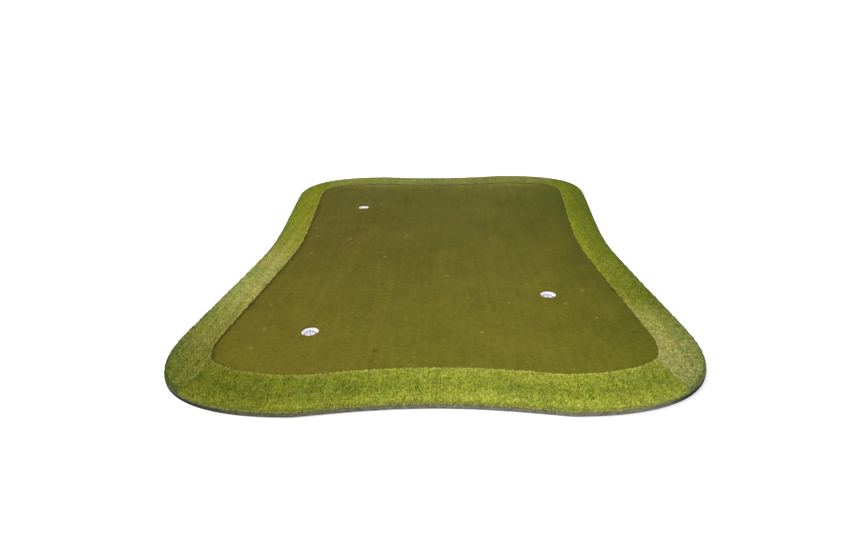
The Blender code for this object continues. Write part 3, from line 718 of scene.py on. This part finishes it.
# ================================================================= fringe
def fringe(side, seed):
    """One fringe strip: its backing with packed thatch, and the blades that stand in it."""
    rng = np.random.default_rng(seed)
    s = np.linspace(0, 1, 260)
    (ao, bo), (ai, bi) = span(side, MITRE_OUT), span(side, MITRE_IN)
    outer = inset(ao + s * (bo - ao), FRINGE_SETBACK)
    inner = inset(ai + s * (bi - ai), lambda n: fringe_width(n) - GAP / 2)
    for e, k in ((0, 1), (-1, -1)):
        cut = outer[e] - inner[e]
        cut = cut / np.linalg.norm(cut)
        pull = np.array([-cut[1], cut[0]]) * k * GAP / 2
        outer[e], inner[e] = outer[e] + pull, inner[e] + pull
    across = inner - outer
    wide = np.linalg.norm(across, axis=1)[:, None]
    z0, top = TURF_Z, FRINGE_THATCH
    near = [(0.0, z0), (0.0, z0 + 0.0018), (0.0006, z0 + 0.0034), (0.0022, z0 + 0.0054),
            (0.0050, z0 + 0.0074), (0.0095, top - 0.0010), (0.0160, top - 0.0002)]
    middle = [(share, top) for share in np.linspace(0.12, 0.94, 12)]
    far = [(0.0060, top - 0.0001), (0.0022, top - 0.0006), (0.0006, top - 0.0016),
           (0.0, top - 0.0034), (0.0, z0)]
    place = [np.full_like(wide, d) / wide for d, _ in near]
    place += [np.full_like(wide, v) for v, _ in middle]
    place += [1 - d / wide for d, _ in far]
    place = np.concatenate(place, 1)
    z = np.array([q for _, q in near + middle + far])
    rings = np.empty((len(s), len(z), 3))
    rings[:, :, :2] = outer[:, None] + across[:, None] * place[:, :, None]
    rings[:, :, 2] = z
    soft = np.array([0.0] * len(near) + [1.0] * len(middle) + [0.0] * len(far))
    flat = rings[:, :, :2].reshape(-1, 2)
    rings[:, :, 2] += soft * 0.0006 * waves(flat, 5, (0.5, 0.14)).reshape(len(s), -1)
    sheet = shown("fringe_backing_" + side, swept("fringe_backing_" + side, rings),
                  fringe_material(side, True), "mat", 60)
    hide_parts("fringe_" + side)
    attribute(sheet.data, "across", place)

    code = 1 if side in ("front", "back") else 0
    axis, sign = (1, -1 if side == "front" else 1) if code else (0, -1 if side == "left" else 1)

    def keep(xy):
        d, n = plan(xy)
        at, away = side_of(xy)
        return ((d > FRINGE_SETBACK + 0.0055 * np.abs(n[:, 0]) ** 4) & (d < fringe_width(n) - 0.0006) & (at == code)
                & (away > 0.0006) & (xy[:, axis] * sign > 0))

    low, high = np.minimum(outer.min(0), inner.min(0)), np.maximum(outer.max(0), inner.max(0))
    tuft, row = stitched(low, high, STITCH_GAUGE, STITCH_STEP, keep, rng)
    k = len(tuft)
    # what the blades of one tuft share: a lean, a dye lot along the row, a length
    t_pull = rng.normal(0, 0.16, (k, 2))
    t_shade = 0.5 + 0.21 * rng.normal(size=k) + 0.08 * rng.normal(size=row.max() + 1)[row]
    t_shade += 0.14 * waves(tuft, 14, (0.060, 0.022))
    t_pull += 0.20 * np.c_[waves(tuft, 15, (0.05, 0.03)), waves(tuft, 16, (0.05, 0.03))]
    t_pale = rng.uniform(size=k) < 0.45
    t_long = 1 + 0.07 * rng.normal(size=k) + 0.05 * waves(tuft, 11, (0.35, 0.09))
    per = max(4, int(round((FRINGE_BLADES - EDGE_BLADES) / k)))
    which = np.repeat(np.arange(k), per)
    turn = rng.uniform(0, 2 * math.pi, len(which))
    out = np.sqrt(rng.uniform(0, 1, len(which)))
    spread = np.c_[np.cos(turn), np.sin(turn)] * out[:, None]
    xy = tuft[which] + spread * (0.42 * STITCH_GAUGE, 0.55 * STITCH_STEP)
    # a denser row of blades along the cut outer edge, which hang over the edging
    te = rng.uniform(ao, bo, EDGE_BLADES)
    rim_xy = inset(te, FRINGE_SETBACK) - outward(te) * rng.uniform(0.0004, 0.0075, (EDGE_BLADES, 1))
    xy = np.concatenate([xy, rim_xy])
    which = np.r_[which, rng.integers(0, k, EDGE_BLADES)]
    spread = np.concatenate([spread, np.zeros((EDGE_BLADES, 2))])
    over = np.r_[np.zeros(len(xy) - EDGE_BLADES), np.ones(EDGE_BLADES)]
    ok = keep(xy)
    xy, which, spread, over = xy[ok], which[ok], spread[ok], over[ok]
    d, n = plan(xy)
    to_seam = fringe_width(n) - d
    m = len(xy)
    edge = np.clip(1 - (d - FRINGE_SETBACK) / 0.018, 0, 1)      # 1 at the outer edge
    seam = np.clip(1 - to_seam / 0.014, 0, 1)                   # 1 at the inner seam
    # roots follow the rounded shoulder of the backing
    z = np.interp(d - FRINGE_SETBACK, [0, 0.0006, 0.0022, 0.0050, 0.0095, 0.0160],
                  [z0 + 0.0026, z0 + 0.0034, z0 + 0.0054, z0 + 0.0074, top - 0.001, top])
    root = np.c_[xy, z - 0.0016]
    length = 0.0150 * t_long[which] * rng.normal(1, 0.09, m).clip(0.7, 1.25)
    length *= np.where(over > 0, rng.uniform(0.80, 1.05, m), 1.0)
    nap = math.radians(NAP[side])
    lay = 0.62 + 0.14 * waves(xy, 12, (0.45, 0.12))
    pull = np.c_[np.cos(nap), np.sin(nap)] * lay[:, None] * (1 - 0.65 * edge - 0.3 * seam)[:, None]
    facing = np.clip(-n[:, 1], 0, 1) ** 3
    loose = over * (rng.uniform(size=m) < 0.10 + 0.35 * facing) * rng.uniform(0.2, 1.1, m)
    hang = (0.08 + 0.30 * facing) * edge ** 1.2 + over * facing * rng.uniform(0.0, 0.6, m)
    pull = pull + n * (hang + loose)[:, None]
    pull = pull - n * ((0.15 if side == "back" else 0.50) * seam)[:, None]
    pull += t_pull[which] + 0.34 * spread + rng.normal(0, 0.17, (m, 2))
    lean = np.linalg.norm(pull, axis=1).clip(0.02, 1.75)
    heading = np.arctan2(pull[:, 1], pull[:, 0])
    width = rng.uniform(0.0018, 0.0030, m)
    shade = (t_shade[which] + 0.13 * rng.normal(size=m)).clip(0, 1)
    pale = np.where(rng.uniform(size=m) < 0.07, rng.uniform(0.4, 0.9, m), 0.0)
    # along the front's outer edge and the inner seam, pale paints highlight on lit tips
    pale = np.maximum(pale, np.clip(edge * 1.8 - 0.5, 0, 1) * rng.uniform(-0.1, 1.0, m).clip(0) * facing)
    pale = np.maximum(pale, np.where(t_pale[which], seam * rng.uniform(0.5, 1.0, m), 0))
    mesh = blades("fringe_pile_" + side, root, length, width, lean, heading, rng, shade, pale)
    attribute(mesh, "across", np.repeat(d / fringe_width(n), 4))
    pile = shown("fringe_pile_" + side, mesh, fringe_material(side, False), "mat")
    return sheet, pile


# ================================================================= putting turf
def circle(c, r, n, turn=0.0):
    a = 2 * math.pi * (np.arange(n) + turn) / n
    return np.c_[c[0] + r * np.cos(a), c[1] + r * np.sin(a)]


def seam_shadow_line(gap, n):
    """1 at the seam along the left side, where the nap is matted and where painted shadow stands for the shadow of
    the longer fringe."""
    return np.clip(1.25 - gap / 0.011, 0, 1) * np.clip(-1.6 * n[:, 0] - 0.2, 0, 1)


def putting_sheet():
    rng = np.random.default_rng(31)
    t = np.arange(0, 4 * NQ, 0.25)
    edge = inset(t, lambda n: fringe_width(n) + GAP / 2)
    loops = [edge] + [circle(c, HOLE_R, 96, 0.5) for c in CUPS.values()]
    rounds = [(0.0014, 0.0005), (0.0045, 0.0)]
    fringes = [(inset(t, lambda n, q=q: fringe_width(n) + GAP / 2 + q), drop)
               for q, drop in rounds]
    fringes += [(circle(c, HOLE_R + q, 96, 0.5), drop) for c in CUPS.values()
                for q, drop in rounds]
    pitch = 0.028
    xs, ys = np.arange(-1.4, 1.4, pitch), np.arange(-1.95, 1.95, pitch)
    grid = np.stack(np.meshgrid(xs, ys, indexing="ij"), -1).reshape(-1, 2)
    grid = grid + rng.uniform(-0.3, 0.3, grid.shape) * pitch
    d, n = plan(grid)
    ok = d > fringe_width(n) + 0.020
    for c in CUPS.values():
        ok &= np.hypot(*(grid - c).T) > HOLE_R + 0.020
    grid = grid[ok]
    pts, drop, pairs, walls = [], [], [], []
    for loop in loops:
        a = sum(len(p) for p in pts)
        ids = a + np.arange(len(loop))
        pairs += list(zip(ids.tolist(), np.roll(ids, -1).tolist()))
        walls.append(ids)
        pts.append(loop)
        drop.append(np.full(len(loop), 0.0016))
    for p, q in fringes:
        pts.append(p)
        drop.append(np.full(len(p), q))
    pts.append(grid)
    drop.append(np.zeros(len(grid)))
    pts, drop = np.concatenate(pts), np.concatenate(drop)
    out, _, faces, origin, _, _ = delaunay_2d_cdt(
        [Vector(p) for p in pts], pairs, [], 2, 1e-7)
    xy = np.array([tuple(v) for v in out])
    source = np.array([o[0] for o in origin])
    at = np.full(len(pts), -1)
    for k, o in enumerate(origin):
        at[list(o)] = k
    tri = np.array([f for f in faces if len(f) == 3])
    middle = xy[tri].mean(1)
    for c in CUPS.values():
        inside = np.hypot(*(middle - c).T) < HOLE_R * 0.9996
        tri, middle = tri[~inside], middle[~inside]
    flip = np.cross(xy[tri[:, 1]] - xy[tri[:, 0]], xy[tri[:, 2]] - xy[tri[:, 0]]) < 0
    tri[flip] = tri[flip][:, ::-1]
    m = len(xy)
    z = PUTTING_THATCH - drop[source]
    z += np.where(drop[source] == 0, 0.0004 * waves(xy, 9, (0.8, 0.2)), 0)
    verts = np.concatenate([np.c_[xy, z], np.c_[xy, np.full(m, TURF_Z)]])
    quads = []
    for ids in walls:
        a = at[ids]
        b = np.roll(a, -1)
        quads.append(np.stack([a, b, b + m, a + m], 1))
    mesh = mesh_of("putting_backing", verts,
                   [tri, tri[:, ::-1] + m, np.concatenate(quads)])
    bm = bmesh.new()
    bm.from_mesh(mesh)
    bmesh.ops.recalc_face_normals(bm, faces=bm.faces)
    bm.to_mesh(mesh)
    bm.free()
    d, n = plan(xy)
    attribute(mesh, "seam_shadow", np.tile(seam_shadow_line(d - fringe_width(n), n), 2))
    sheet = shown("putting_backing", mesh, putting_material(True), "mat", 60)
    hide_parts("putting_turf")
    a = np.r_[edge, edge[:1]]
    area = abs(np.sum(a[:-1, 0] * a[1:, 1] - a[1:, 0] * a[:-1, 1])) / 2
    area -= 3 * math.pi * HOLE_R ** 2
    return sheet, edge.max(0) - edge.min(0), area


def putting_pile(name, seed, low_y, high_y, material):
    rng = np.random.default_rng(seed)

    def keep(xy):
        d, n = plan(xy)
        ok = (d > fringe_width(n) + 0.0006) & (xy[:, 1] >= low_y) & (xy[:, 1] < high_y)
        for c in CUPS.values():
            ok &= np.hypot(*(xy - c).T) > HOLE_R + 0.0004
        return ok

    xy = tufted((-1.32, low_y), (1.32, high_y), PUTTING_TIPS, keep, rng)
    m = len(xy)
    hole, out = np.full(m, 9.0), np.zeros((m, 2))
    for c in CUPS.values():
        v = xy - c
        r = np.hypot(*v.T)
        nearer = r < hole
        hole = np.where(nearer, r, hole)
        out = np.where(nearer[:, None], v / np.maximum(r, 1e-6)[:, None], out)
    lip = np.clip(1 - (hole - HOLE_R) / 0.012, 0, 1)
    root = np.c_[xy, np.full(m, PUTTING_THATCH - 0.0004) - 0.0016 * lip ** 3]
    length = rng.normal(0.0042, 0.0006, m).clip(0.0026, 0.0058)
    pull = np.array([0.04, 0.34]) * (1 + 0.5 * waves(xy, 21, (0.9, 0.25)))[:, None]
    pull = pull + rng.normal(0, 0.42, (m, 2)) - out * (0.25 * lip)[:, None]
    lean = np.linalg.norm(pull, axis=1).clip(0.05, 1.15)
    heading = np.arctan2(pull[:, 1], pull[:, 0])
    width = rng.uniform(0.0026, 0.0046, m)
    shade = rng.beta(2.0, 2.0, m)
    pale = np.clip(lip * rng.uniform(0.1, 1.0, m), 0, 1) * 0.75
    pale = np.maximum(pale, np.where(rng.uniform(size=m) < 0.03, 0.35, 0))
    mesh = tips(name, root, length, width, lean, heading, rng, shade, pale)
    d, n = plan(xy)
    attribute(mesh, "seam_shadow", np.repeat(seam_shadow_line(d - fringe_width(n), n), 3))
    return shown(name, mesh, material, "mat")


# ================================================================= cups
def turned(bm, profile, steps):
    """Lathes a closed (radius, height) profile."""
    k = len(profile)
    ring = []
    for i in range(steps):
        a = 2 * math.pi * i / steps
        ring.append([bm.verts.new((r * math.cos(a), r * math.sin(a), z)) for r, z in profile])
    for i in range(steps):
        p, q = ring[i], ring[(i + 1) % steps]
        for j in range(k):
            bm.faces.new((p[j], p[(j + 1) % k], q[(j + 1) % k], q[j]))
    bmesh.ops.recalc_face_normals(bm, faces=bm.faces)


def cup(name, centre):
    """A cup liner: foot ring, slotted floor with rounded slots, filleted wall, rolled rim."""
    z0, z1 = CUP_FLOOR
    ri, foot = CUP_R - CUP_WALL, RECESS_Z + GAP
    profile = [(HUB_R, z1 + 0.0016), (HUB_R + 0.0022, z1 + 0.0016), (HUB_R + 0.0034, z1),
               (ri - 0.0030, z1), (ri, z1 + 0.0030), (ri, CUP_LIP_Z), (CUP_R, CUP_LIP_Z),
               (CUP_R, foot), (ri + 0.0002, foot), (ri + 0.0002, z0), (HUB_R, z0)]
    radii = [0.0005, 0.0006, 0.0010, 0.0035, 0.0035, 0.0011, 0.0011, 0.0005, 0.0005, 0.0010,
             0.0005]
    bm = bmesh.new()
    turned(bm, rounded(profile, radii, 4), 128)
    mesh = bpy.data.meshes.new(name + "_turned")
    bm.to_mesh(mesh)
    bm.free()
    body = bpy.data.objects.new(name + "_turned", mesh)
    bpy.context.scene.collection.objects.link(body)
    bm = bmesh.new()
    for k in range(CUP_SLOTS):
        a = 2 * math.pi * (k + 0.5) / CUP_SLOTS
        r0, r1, w0, w1 = SLOT_R[0], SLOT_R[1], SLOT_W[0] / 2, SLOT_W[1] / 2
        tilt = math.asin((w1 - w0) / (r1 - r0))
        pts = []
        for i in range(13):
            b = tilt * -1 + math.pi / 2 + (math.pi + 2 * tilt) * i / 12
            pts.append((r0 + w0 + w0 * math.cos(b), w0 * math.sin(b)))
        for i in range(13):
            b = -math.pi / 2 - tilt + (math.pi + 2 * tilt) * i / 12
            pts.append((r1 - w1 + w1 * math.cos(b), w1 * math.sin(b)))
        turn = Matrix.Rotation(a, 2)
        loops = []
        for z in (z0 - 0.002, z1 + 0.0018):
            loops.append([bm.verts.new((*(turn @ Vector(p)), z)) for p in pts])
        bm.faces.new(loops[0][::-1])
        bm.faces.new(loops[1])
        m = len(pts)
        for j in range(m):
            bm.faces.new((loops[0][j], loops[0][(j + 1) % m], loops[1][(j + 1) % m], loops[1][j]))
    bmesh.ops.recalc_face_normals(bm, faces=bm.faces)
    tool_mesh = bpy.data.meshes.new(name + "_slots")
    bm.to_mesh(tool_mesh)
    bm.free()
    tool = bpy.data.objects.new(name + "_slots", tool_mesh)
    bpy.context.scene.collection.objects.link(tool)
    mod = body.modifiers.new("slots", "BOOLEAN")
    mod.operation, mod.solver, mod.object = "DIFFERENCE", "EXACT", tool
    bevel = body.modifiers.new("soft", "BEVEL")
    bevel.limit_method, bevel.angle_limit = "ANGLE", math.radians(60)
    bevel.width, bevel.segments, bevel.use_clamp_overlap = 0.00035, 2, True
    bpy.context.view_layer.update()
    made = bpy.data.meshes.new_from_object(
        body.evaluated_get(bpy.context.evaluated_depsgraph_get()))
    for o in (body, tool):
        bpy.data.objects.remove(o, do_unlink=True)
    made.transform(Matrix.Translation((*centre, 0)))
    obj = shown(name + "_cup", made, PLASTIC, name + "_liner", 40)
    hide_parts(name)
    return obj


# ================================================================= build
RUBBER, FOAM, TAPE, PLASTIC = (edging_material(), foam_material(), tape_material(),
                               cup_material())
for name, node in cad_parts.items():
    look = FOAM if name.startswith("base_tile") else TAPE if name.startswith("seam_tape") else None
    if look:
        for s in node.material_slots:
            s.material = look

for side in SIDES:
    edging(side)
for k, side in enumerate(SIDES):
    fringe(side, 101 + k)
backing, field_size, field_area = putting_sheet()
yarn = putting_material(False)
halves = [putting_pile("putting_pile_front", 201, -1.95, 0.0, yarn),
          putting_pile("putting_pile_back", 202, 0.0, 1.95, yarn)]
for name, centre in CUPS.items():
    cup(name, centre)

# ================================================================= floor, light, camera
floor_mesh = bpy.data.meshes.new("studio_floor")
bm = bmesh.new()
bmesh.ops.create_grid(bm, x_segments=8, y_segments=8, size=60.0)
bm.to_mesh(floor_mesh)
bm.free()
floor = bpy.data.objects.new("studio_floor", floor_mesh)
floor.location.z = -0.0004
bpy.context.scene.collection.objects.link(floor)
pale = Graph("studio_floor", 0.9, Specular_IOR_Level=0.1)
pale.colour(pale.ramp(pale.noise(0.4), (0.3, (0.90, 0.90, 0.90)), (0.7, (0.92, 0.92, 0.92))))
floor_mesh.materials.append(pale.material)

scene = bpy.context.scene
world = bpy.data.worlds.new("studio")
world.use_nodes = True
world.node_tree.nodes["Background"].inputs["Color"].default_value = (1, 1, 1, 1)
world.node_tree.nodes["Background"].inputs["Strength"].default_value = 1.4
scene.world = world
scene.view_settings.view_transform = "Standard"


def light(name, kind, energy, place, aim, size):
    data = bpy.data.lights.new(name, kind)
    data.energy = energy
    if kind == "SUN":
        data.angle = size
    else:
        data.shape, data.size = "DISK", size
    obj = bpy.data.objects.new(name, data)
    obj.location = place
    obj.rotation_mode = "QUATERNION"
    obj.rotation_quaternion = (Vector(aim) - Vector(place)).to_track_quat("-Z", "Y")
    scene.collection.objects.link(obj)
    return obj


light("key", "SUN", 1.9, (-5.0, 1.5, 7.0), (0, 0, 0), math.radians(16))

# Standing at the near end, looking down the mat
F_PX, PITCH, CAM_H, YAW, CAM_X, CAM_D, ROLL = 548.16, 0.4314, 1.7590, 0.0195, 0.1037, 4.2451, -0.0160
CENTRE_X = 441.51
camera = bpy.data.cameras.new("camera")
camera.sensor_fit, camera.sensor_width = "HORIZONTAL", 36.0
camera.lens = F_PX * 36.0 / 850
camera.shift_x = (425 - CENTRE_X) / 850
camera.clip_start, camera.clip_end = 0.05, 200.0
s, c = math.sin(YAW), math.cos(YAW)
right = Vector((c, s, 0))
fwd = Vector((-s * math.cos(PITCH), c * math.cos(PITCH), -math.sin(PITCH)))
up = Vector((-s * math.sin(PITCH), c * math.sin(PITCH), math.cos(PITCH)))
r2 = right * math.cos(ROLL) + up * math.sin(ROLL)
u2 = up * math.cos(ROLL) - right * math.sin(ROLL)
cam = bpy.data.objects.new("camera", camera)
cam.matrix_world = Matrix(((r2.x, u2.x, -fwd.x, CAM_X), (r2.y, u2.y, -fwd.y, -CAM_D),
                           (r2.z, u2.z, -fwd.z, CAM_H), (0, 0, 0, 1)))
scene.collection.objects.link(cam)
scene.camera = cam

bpy.context.view_layer.update()
